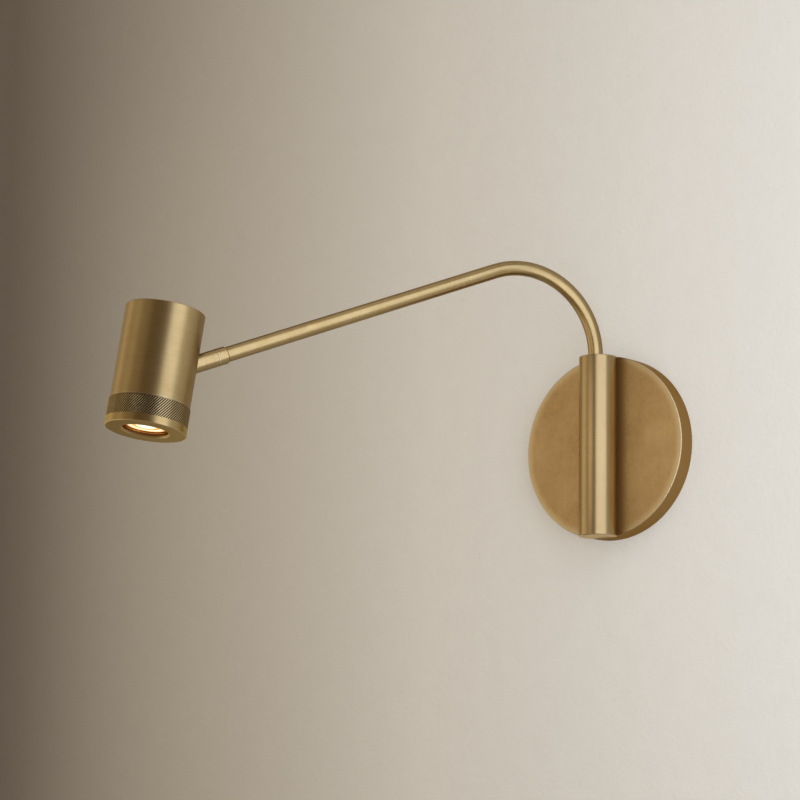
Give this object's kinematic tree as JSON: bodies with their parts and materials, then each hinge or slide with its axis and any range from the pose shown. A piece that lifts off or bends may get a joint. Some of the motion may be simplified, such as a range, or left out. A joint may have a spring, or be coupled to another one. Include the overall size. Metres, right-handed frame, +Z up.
{
  "type": "wall reading lamp",
  "caption": "Brass wall reading lamp: round back plate, half-round column, bent swing arm and a swivelling cylindrical spot head with a knurled dimmer ring round its lens.",
  "frame": {"origin": "centre of the back plate on the wall's surface, midway between the two wall screws", "axes": "+Y into the wall, +Z up, +X to the right along the wall as seen from the room; the lamp stands out to -Y"},
  "size_m": [0.2391, 0.3158, 0.1772],
  "materials": {
    "aged_brass": "brushed and aged, matt lacquer",
    "bracket_steel": "zinc plated",
    "fixing_steel": "blackened and zinc plated",
    "earth_brass": "turned, not aged",
    "bearing_bronze": "sintered bearing bronze",
    "driver_case": "white polycarbonate",
    "terminal_plastic": "black polyamide",
    "washer_polymer": "self-lubricating acetal",
    "seal_rubber": "nitrile rubber",
    "sink_aluminium": "turned and milled",
    "board_white": "white solder mask",
    "led_phosphor": "yellow phosphor",
    "lens_clear": "clear moulded optic",
    "lead_insulation": "sheathed lead"
  },
  "bodies": {
    "wall_unit": {"back_plate": "aged_brass", "wall_bracket": "bracket_steel", "plate_grub_screws": "fixing_steel", "led_driver": "driver_case", "driver_screws": "fixing_steel", "terminal_block": "terminal_plastic", "terminal_screws": "fixing_steel", "earth_screw": "earth_brass", "column": "aged_brass", "column_screws": "fixing_steel", "stop_screw": "fixing_steel", "upper_bush": "bearing_bronze", "lower_bush": "bearing_bronze", "column_cap": "aged_brass", "cable_grommet": "seal_rubber", "supply_lead": "lead_insulation", "column_lead": "lead_insulation"},
    "arm": {"arm_tube": "aged_brass", "stem_insert": "earth_brass", "thrust_washer": "washer_polymer", "wave_washer": "fixing_steel", "stop_segment": "fixing_steel", "stem_nut": "fixing_steel", "arm_collar": "aged_brass", "swivel_washer": "fixing_steel", "friction_disc": "washer_polymer", "arm_lead": "lead_insulation"},
    "head": {"swivel_bolt": "earth_brass", "head_stub": "aged_brass", "head_housing": "aged_brass", "stub_socket": "earth_brass", "stub_nut": "fixing_steel", "heat_sink": "sink_aluminium", "sink_screws": "fixing_steel", "led_board": "board_white", "led_chip": "led_phosphor", "lens_holder": "terminal_plastic", "optic_lens": "lens_clear", "dimmer_board": "board_white", "friction_seal": "seal_rubber", "retaining_clip": "fixing_steel", "ring_stop_pin": "fixing_steel", "head_lead": "lead_insulation"},
    "ring": {"knurled_ring": "aged_brass", "dimmer_wiper": "terminal_plastic"}
  },
  "joints": [
    {"name": "arm_swing", "type": "hinge", "parent": "wall_unit", "child": "arm", "pos_m": [0, -0.02245, 0], "axis": [0, 0, 1], "range_deg": [-55, 115]},
    {"name": "head_swivel", "type": "hinge", "parent": "arm", "child": "head", "pos_m": [-0.13172, -0.2506, 0.03566], "axis": [-0.4668, -0.8085, -0.3584], "range_deg": [-170, 170]},
    {"name": "ring_turn", "type": "hinge", "parent": "head", "child": "ring", "pos_m": [-0.15184, -0.28545, 0.02022], "axis": [-0.0521, -0.1508, -0.9872], "range_deg": [-270, 0]}
  ]
}
